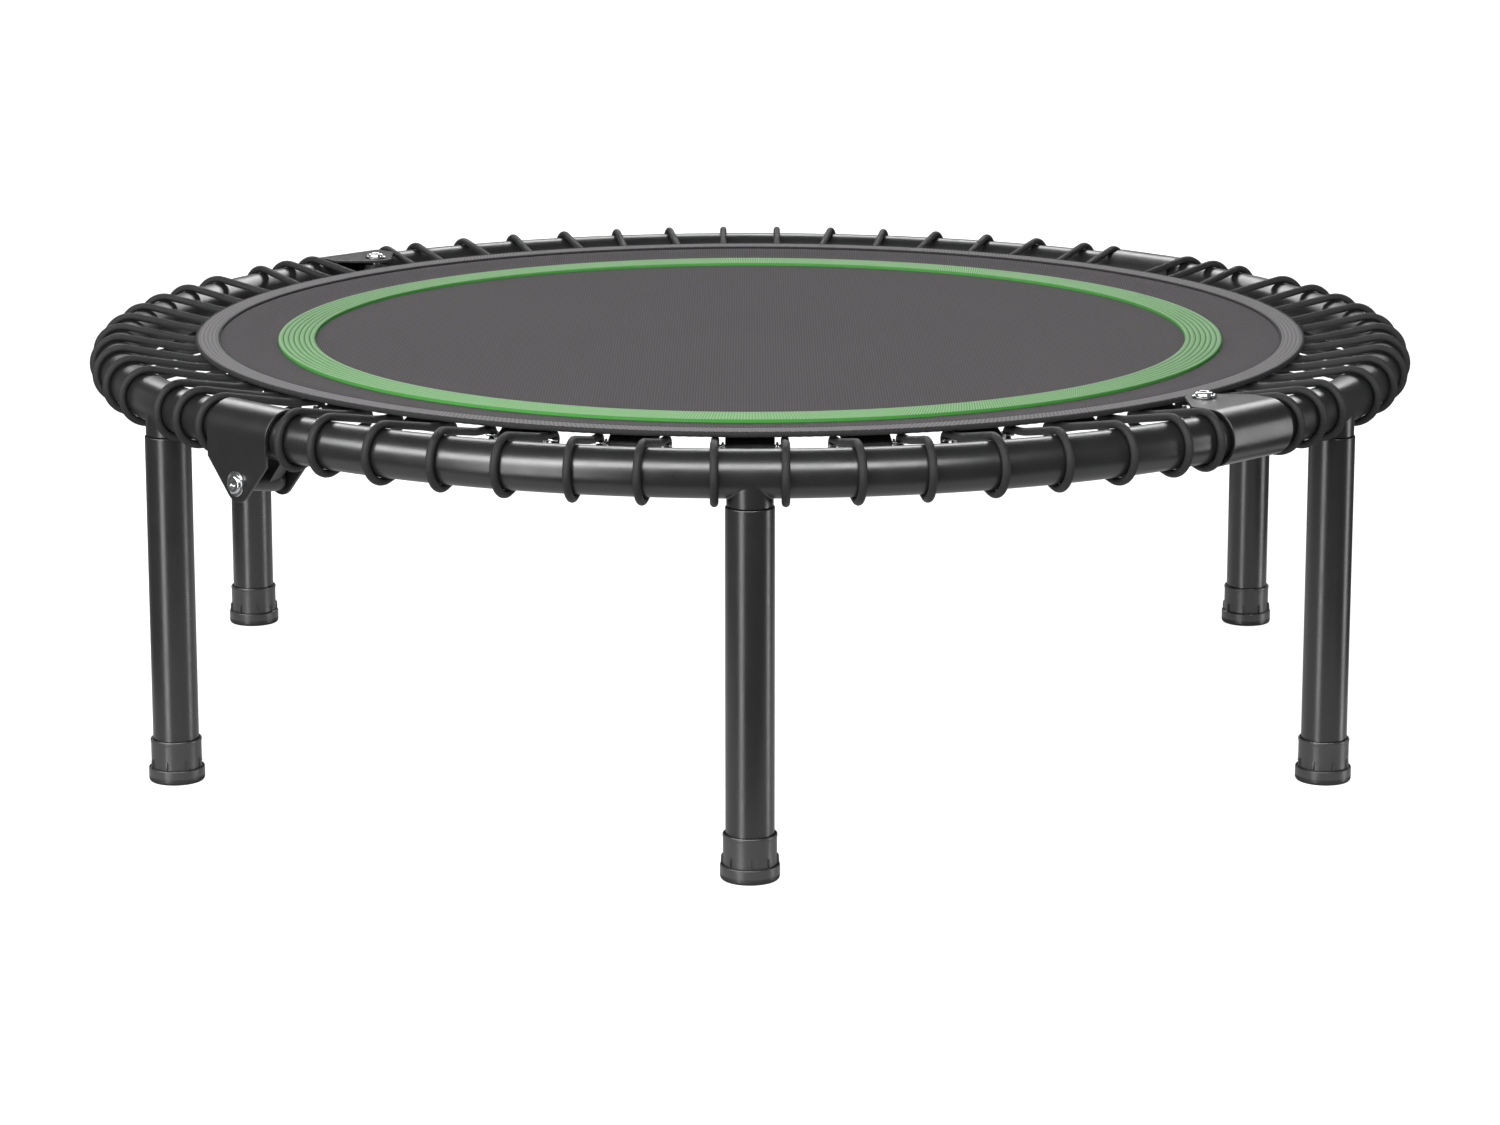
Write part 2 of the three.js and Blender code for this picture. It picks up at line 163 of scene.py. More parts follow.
def linked(name, data, *materials):
    """A new object in the scene."""
    for material in materials:
        data.materials.append(material)
    obj = bpy.data.objects.new(name, data)
    bpy.context.scene.collection.objects.link(obj)
    return obj


class Shape:
    """Closed shells with a UV at each face corner, gathered into one mesh."""

    def __init__(self):
        self.vertices, self.faces, self.uvs = [], [], []

    def grid(self, points, uv, wrap_rows=False, caps=False):
        """points is rows x columns x 3, and its columns wrap. uv has one more row or column there."""
        points = np.asarray(points, float)
        rows, columns, _ = points.shape
        base = len(self.vertices)
        self.vertices.extend(points.reshape(-1, 3).tolist())

        def index(i, j):
            return base + (i % rows) * columns + j % columns

        for i in range(rows if wrap_rows else rows - 1):
            for j in range(columns):
                corners = ((i, j), (i + 1, j), (i + 1, j + 1), (i, j + 1))
                self.faces.append([index(*corner) for corner in corners])
                self.uvs.extend(uv[corner] for corner in corners)
        if caps:
            for i in (0, rows - 1):
                self.faces.append([index(i, j) for j in range(columns)])
                self.uvs.extend(uv[i, j] for j in range(columns))
        return self

    def piece(self, name, material, sharp=40, matrix=None):
        mesh = bpy.data.meshes.new(name)
        mesh.from_pydata(self.vertices, [], self.faces)
        layer = mesh.uv_layers.new(name=UV)
        layer.data.foreach_set("uv", np.asarray(self.uvs, np.float32).ravel())
        if matrix is not None:
            mesh.transform(matrix)
        face_outwards(mesh)
        smooth_shade(mesh, sharp)
        return linked(name, mesh, material)


def face_outwards(mesh):
    work = bmesh.new()
    work.from_mesh(mesh)
    bmesh.ops.recalc_face_normals(work, faces=work.faces)
    work.to_mesh(mesh)
    work.free()


def smooth_shade(mesh, sharp):
    mesh.polygons.foreach_set("use_smooth", [True] * len(mesh.polygons))
    mesh.set_sharp_from_angle(angle=math.radians(sharp))


def uv_product(u, v):
    """UVs for a grid whose rows are at u and columns at v."""
    return np.stack(np.meshgrid(u, v, indexing="ij"), axis=-1)


def distances(points, closed=False):
    """Length along a polyline at each point, and once more at the start of a closed one."""
    points = np.asarray(points, float)
    if closed:
        points = np.vstack([points, points[:1]])
    steps = np.linalg.norm(np.diff(points, axis=0), axis=1)
    return np.concatenate([[0.0], np.cumsum(steps)])


def bezier(start, corner, end, steps):
    """A curve from start to end, pulled towards the corner."""
    return [
        (1 - t) ** 2 * start + 2 * t * (1 - t) * corner + t * t * end
        for t in np.linspace(0, 1, steps + 1)
    ]


def filleted(points, radius, steps=3, closed=False):
    """A polyline with its corners rounded."""
    points = [np.asarray(p, float) for p in points]
    count = len(points)
    result = []
    for i, corner in enumerate(points):
        if not closed and i in (0, count - 1):
            result.append(corner)
            continue
        before, after = points[i - 1] - corner, points[(i + 1) % count] - corner
        lengths = np.linalg.norm(before), np.linalg.norm(after)
        cut = min(radius, 0.45 * lengths[0], 0.45 * lengths[1])
        start, end = corner + before * cut / lengths[0], corner + after * cut / lengths[1]
        result += bezier(start, corner, end, steps)
    return result


def turned(profile, columns, closed=False, radius=None):
    """Revolves [radius, height] points about Z, at a number of columns or at a list of angles.

    radius(row, r, angle) may reshape each point.
    """
    profile = [tuple(p) for p in profile]
    angles = np.asarray(columns, float) if np.ndim(columns) else full_turn(columns)
    points = []
    for row, (r, z) in enumerate(profile):
        radii = [r if radius is None else radius(row, r, a) for a in angles]
        points.append([(q * math.cos(a), q * math.sin(a), z) for q, a in zip(radii, angles)])
    widest = max(r for r, _ in profile)
    v = np.append(angles, angles[0] + 2 * np.pi) * widest
    return Shape().grid(
        points, uv_product(distances(profile, closed), v), wrap_rows=closed, caps=not closed
    )


def thread_dip(z, pitch, depth, angle):
    """How deep a helical thread lies at a height and an angle."""
    phase = (z / pitch - angle / (2 * math.pi)) % 1
    return depth * abs(2 * phase - 1)


def hexagon(corner_radius, angle):
    """Distance from the centre to a hexagon's side."""
    return corner_radius * math.cos(math.pi / 6) / math.cos(angle % (math.pi / 3) - math.pi / 6)


def frames_along(points, closed, reference=None):
    """Tangents and turning-free side vectors of a path."""
    points = np.asarray(points, float)
    if closed:
        tangents = np.roll(points, -1, 0) - np.roll(points, 1, 0)
    else:
        tangents = np.gradient(points, axis=0)
    tangents /= np.linalg.norm(tangents, axis=1)[:, None]
    side = np.asarray(reference if reference is not None else UP, float)
    sides = []
    for t in tangents:
        side = side - t * side.dot(t)
        side /= np.linalg.norm(side)
        sides.append(side)
    return tangents, np.array(sides)


def tube(shape, points, radius, columns, closed=False, reference=None, radii=None):
    """A round tube along a path. radii scales the radius at each point."""
    points = np.asarray(points, float)
    tangents, sides = frames_along(points, closed, reference)
    others = np.cross(tangents, sides)
    angles = full_turn(columns)
    cos, sin = np.cos(angles)[None, :, None], np.sin(angles)[None, :, None]
    circle = cos * sides[:, None] + sin * others[:, None]
    scale = np.ones(len(points)) if radii is None else np.asarray(radii)
    grid = points[:, None] + radius * scale[:, None, None] * circle
    v = np.append(angles, 2 * np.pi) * radius
    return shape.grid(
        grid, uv_product(distances(points, closed), v), wrap_rows=closed, caps=not closed
    )


def weigh_normals(obj):
    """Keeps broad flat faces flat-looking beside small rounded edges."""
    modifier = obj.modifiers.new("Normals", "WEIGHTED_NORMAL")
    modifier.keep_sharp = True
    return apply_modifiers(obj)


def apply_modifiers(obj):
    graph = bpy.context.evaluated_depsgraph_get()
    mesh = bpy.data.meshes.new_from_object(obj.evaluated_get(graph))
    mesh.name = obj.name
    obj.modifiers.clear()
    obj.data = mesh
    return obj


def attach(obj, body, node):
    """Hides the CAD node a rigid piece stands for, and hangs the piece on its body."""
    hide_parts(node)
    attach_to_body(obj, body)


# ---- materials


class Finish:
    """A procedural material round one Principled shader."""

    def __init__(self, name, **values):
        self.material = bpy.data.materials.new(name)
        self.material.use_nodes = True
        self.tree = self.material.node_tree
        self.shader = self.tree.nodes["Principled BSDF"]
        for key, value in values.items():
            self.set(key.replace("_", " "), value)

    def set(self, socket, value):
        self.put(self.shader.inputs[socket], value)

    def put(self, socket, value):
        if isinstance(value, bpy.types.NodeSocket):
            self.tree.links.new(value, socket)
        elif socket.type == "RGBA":
            socket.default_value = (*value, 1)
        else:
            socket.default_value = value

    def node(self, kind, inputs, output=0, **settings):
        made = self.tree.nodes.new(kind)
        for key, value in settings.items():
            setattr(made, key, value)
        for key, value in inputs.items():
            self.put(made.inputs[key], value)
        return made.outputs[output]

    def math(self, operation, *values):
        return self.node("ShaderNodeMath", dict(enumerate(values)), operation=operation)

    def uv(self):
        pair = self.node("ShaderNodeUVMap", {}, uv_map=UV)
        return [self.node("ShaderNodeSeparateXYZ", {0: pair}, output) for output in (0, 1)]

    def object_place(self):
        return self.node("ShaderNodeTexCoord", {}, "Object")

    def noise(self, place, scale, detail=3.0):
        inputs = {"Vector": place, "Scale": scale, "Detail": detail}
        return self.node("ShaderNodeTexNoise", inputs)

    def uv_noise(self, scale, detail=3.0):
        return self.noise(self.node("ShaderNodeUVMap", {}, uv_map=UV), scale, detail)

    def wave(self, value, pitch, phase=0.0):
        """A sine from 0 to 1 with that pitch."""
        angle = self.math("MULTIPLY_ADD", value, 2 * math.pi / pitch, phase)
        return self.math("MULTIPLY_ADD", self.math("SINE", angle), 0.5, 0.5)

    def spread(self, value, low, high):
        """Maps 0..1 to low..high."""
        return self.math("MULTIPLY_ADD", value, high - low, low)

    def mix(self, factor, a, b):
        return self.node("ShaderNodeMix", {0: factor, 6: a, 7: b}, 2, data_type="RGBA")

    def times(self, a, b):
        return self.math("MULTIPLY", a, b)

    def within(self, value, low, high):
        """1 where value lies between low and high."""
        above = self.math("GREATER_THAN", value, low)
        return self.times(above, self.math("LESS_THAN", value, high))

    def colour(self, factor, a, b):
        self.set("Base Color", self.mix(factor, a, b))

    def rough(self, value, low, high):
        self.set("Roughness", self.spread(value, low, high))

    def bump(self, height, distance, strength=1.0):
        inputs = {"Height": height, "Distance": distance, "Strength": strength}
        self.set("Normal", self.node("ShaderNodeBump", inputs))


def painted_steel():
    """Satin black powder coat with a faint orange peel."""
    f = Finish("painted_steel", Specular_IOR_Level=0.85)
    place = f.object_place()
    cloud = f.noise(place, 9.0)
    peel = f.noise(place, 900.0, 2.0)
    f.colour(cloud, (0.006, 0.006, 0.0063), (0.011, 0.011, 0.0115))
    f.rough(f.noise(place, 60.0), 0.24, 0.38)
    f.bump(peel, 0.00004, 0.5)
    return f.material


def plated_steel(name, tint, rough_low, rough_high):
    """Bright plating with fine turning marks and slight clouding."""
    f = Finish(name, Metallic=1.0)
    place = f.object_place()
    cloud = f.noise(place, 130.0)
    f.colour(cloud, tint, [0.78 * c for c in tint])
    f.rough(cloud, rough_low, rough_high)
    f.bump(f.noise(place, 1400.0, 2.0), 0.00003, 0.4)
    return f.material


def moulded_rubber():
    f = Finish("moulded_rubber", Specular_IOR_Level=0.8)
    place = f.object_place()
    cloud = f.noise(place, 35.0)
    f.colour(cloud, (0.014, 0.014, 0.0146), (0.024, 0.024, 0.0248))
    f.rough(f.noise(place, 220.0), 0.3, 0.44)
    f.bump(f.noise(place, 2200.0, 2.0), 0.00006, 0.5)
    return f.material


def mat_weave():
    """Woven polypropylene: ribs along Y with short floats on them, staggered from rib to rib."""
    rib_pitch, float_pitch = 2.3 * MM, 1.6 * MM
    f = Finish("mat_weave", Specular_IOR_Level=0.2)
    x, y = f.uv()
    rib = f.wave(x, rib_pitch)
    number = f.math("FLOOR", f.times(x, 1 / rib_pitch))
    floats = f.wave(f.math("MULTIPLY_ADD", number, float_pitch / 2, y), float_pitch)
    height = f.math("MULTIPLY_ADD", floats, 0.4, f.times(rib, 0.6))
    cloud = f.uv_noise(5.0, 4.0)
    speck = f.uv_noise(700.0, 2.0)
    # Painted shade: the weave's low points get the darker colour and its high points the lighter one,
    # with fine specks and broad clouding as random tone.
    shade = f.math("MULTIPLY_ADD", height, 0.7, f.times(speck, 0.35))
    shade_and_clouding = f.math("MULTIPLY_ADD", cloud, 0.12, shade)
    f.colour(shade_and_clouding, (0.003, 0.0023, 0.0028), (0.0615, 0.0535, 0.0595))
    f.rough(speck, 0.62, 0.86)
    f.bump(height, 0.00025, 0.9)
    return f.material


def hem_webbing():
    """Grey hem tape with rows of short slanted stitches."""
    stitch_length, margin = 3.6 * MM, 0.4 * MM
    f = Finish("hem_webbing", Specular_IOR_Level=0.3)
    u, v = f.uv()
    row = f.times(v, 1 / HEM_ROW)
    across = f.math("FRACT", row)
    slant = f.math("MULTIPLY_ADD", f.math("FLOOR", row), 0.55, f.times(across, 0.35))
    phase = f.math("FRACT", f.math("MULTIPLY_ADD", u, 1 / stitch_length, slant))
    stitch = f.times(f.within(phase, 0.1, 0.52), f.within(across, 0.24, 0.76))
    stitch = f.times(stitch, f.within(v, margin, HEM_WIDTH - margin))
    grain = f.uv_noise(900.0, 2.0)
    tape = f.mix(grain, (0.062, 0.0598, 0.0616), (0.218, 0.212, 0.217))
    f.colour(f.times(stitch, 0.85), tape, (0.03, 0.029, 0.031))
    f.rough(grain, 0.7, 0.9)
    thread = f.wave(u, 1.1 * MM)
    height = f.math("MULTIPLY_ADD", stitch, -0.8, f.times(thread, 0.25))
    f.bump(height, 0.0003, 0.8)
    return f.material


def green_webbing():
    """Pale green ribs with a herringbone weave, darker grooves and vivid green edges."""
    margin = 0.2 * MM
    f = Finish("green_webbing", Specular_IOR_Level=0.2)
    u, v = f.uv()
    in_rib = f.math("FRACT", f.times(v, 1 / GREEN_RIB))
    across = f.math("ABSOLUTE", f.math("SUBTRACT", in_rib, 0.5))
    chevron = f.wave(f.math("MULTIPLY_ADD", across, 2.6 * MM, u), 2.3 * MM)
    grain = f.uv_noise(800.0, 2.0)
    light = f.mix(chevron, (0.088, 0.21, 0.076), (0.215, 0.37, 0.197))
    light = f.mix(f.times(grain, 0.25), light, (0.07, 0.19, 0.06))
    groove = f.math("GREATER_THAN", across, 0.39)
    top = f.mix(f.times(groove, 0.94), light, (0.02, 0.1, 0.018))
    on_top = f.within(v, margin, GREEN_WIDTH - margin)
    wall = f.mix(grain, (0.03, 0.19, 0.025), (0.065, 0.3, 0.05))
    f.colour(on_top, wall, top)
    f.rough(grain, 0.55, 0.75)
    f.bump(f.math("MULTIPLY_ADD", grain, 0.3, f.times(chevron, 0.7)), 0.00022, 0.8)
    return f.material


def black_webbing():
    f = Finish("black_webbing", Specular_IOR_Level=0.6)
    u, v = f.uv()
    weft = f.wave(u, 1.7 * MM)
    warp = f.wave(v, 1.3 * MM)
    height = f.times(weft, warp)
    grain = f.uv_noise(600.0, 2.0)
    shade = f.math("MULTIPLY_ADD", grain, 0.4, f.times(height, 0.6))
    f.colour(shade, (0.008, 0.008, 0.0082), (0.038, 0.038, 0.039))
    f.rough(grain, 0.34, 0.56)
    f.bump(height, 0.0003, 0.9)
    return f.material


def binding_thread():
    """Black overlock thread: close slanted turns along the edge."""
    f = Finish("binding_thread", Specular_IOR_Level=0.35)
    u, v = f.uv()
    turn = f.wave(f.math("MULTIPLY_ADD", v, 0.35, u), 1.9 * MM)
    grain = f.uv_noise(900.0, 2.0)
    f.colour(turn, (0.004, 0.004, 0.0042), (0.026, 0.026, 0.027))
    f.rough(grain, 0.6, 0.85)
    f.bump(f.math("MULTIPLY_ADD", grain, 0.2, turn), 0.0004, 0.9)
    return f.material


def braided_cord():
    """Braided sheath: two sets of strands crossing round the cord."""
    strands, pitch = 12, 2.1 * MM
    f = Finish("braided_cord", Specular_IOR_Level=0.32)
    u, v = f.uv()
    around = f.times(v, strands / (2 * math.pi * CORD_RADIUS))
    run = f.times(u, 1 / pitch)
    one = f.wave(f.math("ADD", run, around), 1.0)
    other = f.wave(f.math("SUBTRACT", run, around), 1.0)
    height = f.math("MAXIMUM", one, other)
    grain = f.uv_noise(1200.0, 2.0)
    shade = f.math("MULTIPLY_ADD", grain, 0.3, f.times(height, 0.7))
    f.colour(shade, (0.001, 0.001, 0.0011), (0.021, 0.021, 0.0216))
    f.rough(grain, 0.4, 0.6)
    f.bump(height, 0.0003, 0.9)
    return f.material


# ---- steel frame


def arc_tube(name, start, material):
    """A quarter of the ring: a hollow tube with chamfered ends."""
    trim = math.degrees(TOUCH_GAP / RING_RADIUS)
    chamfer = 0.5 * MM
    step = math.degrees(chamfer / RING_RADIUS)
    outer_rows, inner_rows, columns = 61, 31, 56
    first, last = start + trim, start + ARC_SPAN - trim
    inner = TUBE_RADIUS - TUBE_WALL
    rows = [(first, TUBE_RADIUS - chamfer)]
    rows += [(a, TUBE_RADIUS) for a in np.linspace(first + step, last - step, outer_rows)]
    rows += [(last, TUBE_RADIUS - chamfer)]
    rows += [(a, inner) for a in np.linspace(last, first, inner_rows)]
    angles = full_turn(columns)
    points = [
        [
            outwards(a) * (RING_RADIUS + r * math.cos(t)) + UP * (RING_Z + r * math.sin(t))
            for t in angles
        ]
        for a, r in rows
    ]
    u = [math.radians(a) * RING_RADIUS for a, _ in rows]
    u.append(u[0])
    v = np.append(angles, 2 * np.pi) * TUBE_RADIUS
    return Shape().grid(points, uv_product(u, v), wrap_rows=True).piece(name, material)


def leg_stub(name, azimuth, material):
    """The socket under the tube, coped to it with a weld fillet, and bored for its stud."""
    bottom = STUB_BOTTOM - RING_Z
    weld, chamfer, mouth = 1.3 * MM, 0.6 * MM, 0.965  # mouth: share of the radius at the chamfer's end
    sunk = TUBE_RADIUS - 0.8 * MM
    bore = STUD_RADIUS + 0.6 * MM
    columns_round = 64

    def on_tube(radius, x, y):
        return np.array([x, y, -math.sqrt(radius**2 - x**2)])

    def bent(p):
        return p - np.array([p[1] ** 2 / (2 * RING_RADIUS), 0, 0])

    columns = []
    for a in full_turn(columns_round):
        x, y = STUB_RADIUS * math.cos(a), STUB_RADIUS * math.sin(a)
        meet = on_tube(TUBE_RADIUS, x, y)
        slope = math.asin(x / TUBE_RADIUS) + weld / TUBE_RADIUS * math.cos(a)
        out_y = y + weld * math.sin(a)
        spread = np.array([TUBE_RADIUS * math.sin(slope), out_y, -TUBE_RADIUS * math.cos(slope)])
        under = np.array([sunk * math.sin(slope), out_y, -sunk * math.cos(slope)])
        column = [np.array([x * mouth, y * mouth, bottom]), np.array([x, y, bottom + chamfer])]
        column += bezier(meet - UP * weld, meet, spread, 6)
        inside = on_tube(sunk, bore * math.cos(a), bore * math.sin(a))
        column += [under, inside, np.array([inside[0], inside[1], bottom])]
        columns.append([bent(p) for p in column])
    points = np.transpose(np.array(columns), (1, 0, 2))
    u = distances(points[:, 0], closed=True)
    v = np.linspace(0, 2 * np.pi, columns_round + 1) * STUB_RADIUS
    shape = Shape().grid(points, uv_product(u, v), wrap_rows=True)
    return shape.piece(name, material, matrix=ring_matrix(azimuth, RING_RADIUS, RING_Z))


def leg_stud(name, azimuth, material):
    """A stud with a helical thread and a chamfered tip."""
    pitch, depth, columns = 2.5 * MM, 1.1 * MM, 30
    tip, chamfer = 0.72 * STUD_RADIUS, 1.5 * MM
    heights = np.arange(STUD_BOTTOM + chamfer, STUD_TOP - 0.1 * MM, pitch / 6)
    profile = [(tip, STUD_BOTTOM)]
    profile += [(STUD_RADIUS, z) for z in heights]
    profile += [(STUD_RADIUS - depth, STUD_TOP)]

    def thread(row, r, angle):
        if row in (0, len(profile) - 1):
            return r
        return r - thread_dip(profile[row][1], pitch, depth, angle)

    shape = turned(profile, columns, radius=thread)
    return shape.piece(name, material, sharp=80, matrix=ring_matrix(azimuth, RING_RADIUS, 0))


def leg_tube(name, azimuth, material):
    """The leg's tube with a rounded shoulder, and the threaded bush inside its top."""
    bore = LEG_RADIUS - TUBE_WALL
    bush = STUD_RADIUS + TOUCH_GAP
    profile = [(LEG_RADIUS, LEG_BOTTOM), (LEG_RADIUS, LEG_TOP), (bush, LEG_TOP)]
    profile += [(bush, LEG_TOP - BUSH_HEIGHT), (bore, LEG_TOP - BUSH_HEIGHT), (bore, LEG_BOTTOM)]
    shape = turned(filleted(profile, 1.0 * MM, 3, closed=True), 56, closed=True)
    obj = shape.piece(name, material, matrix=ring_matrix(azimuth, RING_RADIUS, 0))
    return weigh_normals(obj)


def foot(name, azimuth, material):
    """A rubber foot: a base ring with a groove behind its lip, a rimmed sleeve, and eight ribs."""
    base, sleeve, socket = 23.2 * MM, 20.9 * MM, LEG_RADIUS + TOUCH_GAP
    step, rib_top = 12.2 * MM, 20.4 * MM
    groove = step - 1.7 * MM
    outline = [(base - 2.2 * MM, 0), (base - 1.1 * MM, 0.3 * MM), (base - 0.3 * MM, 1.2 * MM)]
    outline += [(base, 2.6 * MM), (base, step - 1.0 * MM), (base - 0.3 * MM, step - 0.3 * MM)]
    outline += [(base - 1.0 * MM, step)]
    outline += [(sleeve + 0.8 * MM, groove), (sleeve + 0.15 * MM, groove)]
    outline += [(sleeve, step + 1.4 * MM), (sleeve, rib_top - 1.8 * MM), (sleeve, rib_top)]
    outline += [(sleeve, FOOT_TOP - 3.0 * MM), (sleeve + 0.35 * MM, FOOT_TOP - 2.4 * MM)]
    outline += [(sleeve + 0.35 * MM, FOOT_TOP - 0.7 * MM), (sleeve - 0.1 * MM, FOOT_TOP)]
    outline += [(socket + 0.5 * MM, FOOT_TOP), (socket, FOOT_TOP - 0.6 * MM), (socket, 5 * MM)]
    rib_radius = {9: base - 0.6 * MM, 10: base - 0.9 * MM}  # by row of the outline
    ribs, rib_half_angle = 8, 2
    pitch = 360 / ribs
    offsets = [-2.3, -1.8, 1.8, 2.3, 8, 14, 20, 25, 31, 37]
    columns = [math.radians(pitch * rib + offset) for rib in range(ribs) for offset in offsets]

    def ribbed(row, r, angle):
        offset = (math.degrees(angle) + pitch / 2) % pitch - pitch / 2
        return rib_radius.get(row, r) if abs(offset) < rib_half_angle else r

    shape = turned(outline, columns, radius=ribbed)
    obj = shape.piece(name, material, sharp=50, matrix=ring_matrix(azimuth, RING_RADIUS, 0))
    return weigh_normals(obj)


# ---- hinge brackets


def hinge_matrix(azimuth, inwards):
    """Local Z points up, or towards the ring's outside where the cheeks point inwards."""
    turn = Matrix.Rotation(math.pi / 2 if inwards else 0, 4, "Y")
    return ring_matrix(azimuth, RING_RADIUS - SADDLE_SHIFT, RING_Z) @ turn


def arc_points(centre, radius, start, end, steps):
    return [
        (centre[0] + radius * math.cos(a), centre[1] + radius * math.sin(a))
        for a in np.radians(np.linspace(start, end, steps))
    ]


def cut_plate(outline, holes, thickness):
    """A flat plate in XY with rounded rims, as a bmesh. Holes are (x, y, radius)."""
    rim_angle, rounding = 1.2, 0.5 * MM
    work = bmesh.new()
    loops = [outline] + [arc_points((x, y), r, 0, 345, 24) for x, y, r in holes]
    edges = []
    for loop in loops:
        corners = [work.verts.new((x, y, 0)) for x, y in loop]
        edges += [work.edges.new((a, b)) for a, b in zip(corners, corners[1:] + corners[:1])]
    filled = bmesh.ops.triangle_fill(work, edges=edges, use_beauty=True)
    faces = [g for g in filled["geom"] if isinstance(g, bmesh.types.BMFace)]
    raised = bmesh.ops.extrude_face_region(work, geom=faces)
    top = [g for g in raised["geom"] if isinstance(g, bmesh.types.BMVert)]
    bmesh.ops.translate(work, verts=top, vec=(0, 0, thickness))
    bmesh.ops.recalc_face_normals(work, faces=work.faces)
    rims = [e for e in work.edges if len(e.link_faces) == 2 and e.calc_face_angle(0) > rim_angle]
    bmesh.ops.bevel(work, geom=rims, offset=rounding, segments=2, affect="EDGES", profile=0.5)
    return work


def saddle(name, azimuth, inwards, material):
    """A plate bent over the tube. It is cut flat, with X along the bend and Y along the tube."""
    bend_radius = SADDLE_INNER + SADDLE_PLATE / 2
    straight = bend_radius * math.pi / 2
    pivot, half = straight + PIVOT_DROP, SADDLE_WIDTH / 2
    rise = PIVOT_DROP - CHEEK_STRAIGHT
    lean = math.acos(CHEEK_END_RADIUS / math.hypot(half, rise))
    tangent = math.degrees(math.atan2(rise, half) - lean)
    nose = arc_points((pivot, 0), CHEEK_END_RADIUS, -90 - tangent, 90 + tangent, 18)
    outline = [(straight + CHEEK_STRAIGHT, -half)] + nose + [(straight + CHEEK_STRAIGHT, half)]
    outline += [(-x, -y) for x, y in outline]
    holes = [(side * pivot, 0, BOLT_RADIUS + 0.4 * MM) for side in (-1, 1)]
    work = cut_plate(outline, holes, SADDLE_PLATE)
    for x in np.linspace(-straight, straight, 29):
        everything = work.verts[:] + work.edges[:] + work.faces[:]
        bmesh.ops.bisect_plane(work, geom=everything, plane_co=(x, 0, 0), plane_no=(1, 0, 0))
    for vertex in work.verts:
        x, y, t = vertex.co
        angle = min(max(x, -straight), straight) / bend_radius
        r, drop = SADDLE_INNER + t, max(abs(x) - straight, 0)
        vertex.co = (r * math.sin(angle), y, r * math.cos(angle) - drop)
    mesh = bpy.data.meshes.new(name)
    bmesh.ops.recalc_face_normals(work, faces=work.faces)
    work.to_mesh(mesh)
    work.free()
    mesh.transform(hinge_matrix(azimuth, inwards))
    smooth_shade(mesh, 50)
    return weigh_normals(linked(name, mesh, material))


def rod_shape(radius, columns):
    """A cutting rod along local Z, longer than what it cuts."""
    reach = 60 * MM
    return turned([(radius, -reach), (radius, reach)], columns)


def boolean(obj, other, operation):
    modifier = obj.modifiers.new("Cut", "BOOLEAN")
    modifier.operation, modifier.object, modifier.solver = operation, other, "EXACT"
    apply_modifiers(obj)
    bpy.data.objects.remove(other)


def lug(name, azimuth, inwards, side, material):
    """A tapered sleeve round the bolt, on a web that is coped to the other tube's end."""
    quarter = Matrix.Rotation(math.pi / 2, 4, "Y")
    on_bolt = Matrix.Translation((0, 0, -PIVOT_DROP)) @ quarter
    sleeve = [(11.4 * MM, -17.6 * MM), (11.4 * MM, -12 * MM), (7.6 * MM, 9 * MM), (7.2 * MM, 12.5 * MM)]
    obj = turned(filleted(sleeve, 1.2 * MM), 40).piece(name, material, matrix=on_bolt)
    web_top, web_start, web_thickness = -14 * MM, -14 * MM, 12 * MM
    web = [(1.5 * MM, web_top), (24 * MM, web_top), (24 * MM, -23 * MM)]
    web += [(8 * MM, -PIVOT_DROP - 3 * MM), (-4 * MM, -PIVOT_DROP)]
    work = cut_plate([(side * y, z) for y, z in web], [], web_thickness)
    mesh = bpy.data.meshes.new("web")
    work.to_mesh(mesh)
    work.free()
    stand = Matrix(((0, 0, 1, web_start), (1, 0, 0, 0), (0, 1, 0, 0), (0, 0, 0, 1)))
    mesh.transform(stand)
    boolean(obj, linked("web", mesh), "UNION")
    on_tube = Matrix.Translation((SADDLE_SHIFT, 0, 0)) @ Matrix.Rotation(math.pi / 2, 4, "X")
    cope = rod_shape(TUBE_RADIUS + 0.25 * MM, 64).piece("cope", material, matrix=on_tube)
    boolean(obj, cope, "DIFFERENCE")
    bore = rod_shape(BOLT_RADIUS + 0.3 * MM, 32).piece("bore", material, matrix=on_bolt)
    boolean(obj, bore, "DIFFERENCE")
    obj.data.transform(hinge_matrix(azimuth, inwards))
    smooth_shade(obj.data, 35)
    return weigh_normals(obj)


def fastening_matrix(azimuth, inwards):
    """Local Z runs along the bolt, towards its head."""
    flip = Matrix.Rotation(math.pi if inwards else 0, 4, "Z")
    quarter = Matrix.Rotation(math.pi / 2, 4, "Y")
    return hinge_matrix(azimuth, inwards) @ flip @ Matrix.Translation((0, 0, -PIVOT_DROP)) @ quarter


